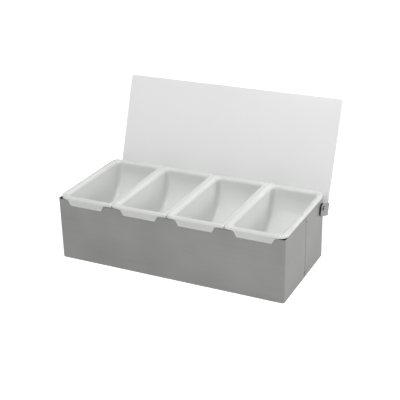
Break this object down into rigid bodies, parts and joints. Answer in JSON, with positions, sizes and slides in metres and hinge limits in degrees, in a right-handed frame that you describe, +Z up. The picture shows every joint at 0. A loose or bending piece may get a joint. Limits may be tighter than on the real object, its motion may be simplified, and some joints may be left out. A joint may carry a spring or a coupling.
{
  "type": "bar condiment holder",
  "caption": "Oblong folded steel box with lift-out garnish trays side by side and a flat lid hinged on lugs at the rear of its side walls, standing open.",
  "frame": {"origin": "centre of the steel box's footprint, on the table", "axes": "+X along the length to the right as seen from the front, +Y to the back, +Z up"},
  "size_m": [0.3138, 0.2048, 0.1905],
  "materials": {
    "box_steel": "stainless sheet, fine brushed grain, satin",
    "tray_plastic": "white injection-moulded polypropylene, satin",
    "lid_plastic": "white plastic sheet, smooth and slightly glossy",
    "lug_steel": "stainless strip, fine grain",
    "fastener_steel": "bright plated steel",
    "rivet_aluminium": "bare, pressed"
  },
  "bodies": {
    "housing": {"front_shell": "box_steel", "rear_shell": "box_steel", "base_pan": "box_steel", "tray_1": "tray_plastic", "tray_2": "tray_plastic", "tray_3": "tray_plastic", "tray_4": "tray_plastic", "pivot_screw_left": "fastener_steel", "pivot_screw_right": "fastener_steel", "pivot_washer_left": "fastener_steel", "pivot_washer_right": "fastener_steel", "pivot_nut_left": "fastener_steel", "pivot_nut_right": "fastener_steel"},
    "lid": {"lid_panel": "lid_plastic", "hinge_bracket_left": "lug_steel", "hinge_bracket_right": "lug_steel", "lid_rivet_left_1": "rivet_aluminium", "lid_rivet_left_2": "rivet_aluminium", "lid_rivet_right_1": "rivet_aluminium", "lid_rivet_right_2": "rivet_aluminium"}
  },
  "joints": [
    {"name": "lid_hinge", "type": "hinge", "parent": "housing", "child": "lid", "pos_m": [0, 0.0638, 0.068], "axis": [1, 0, 0], "range_deg": [-34.5, 110.8]}
  ]
}
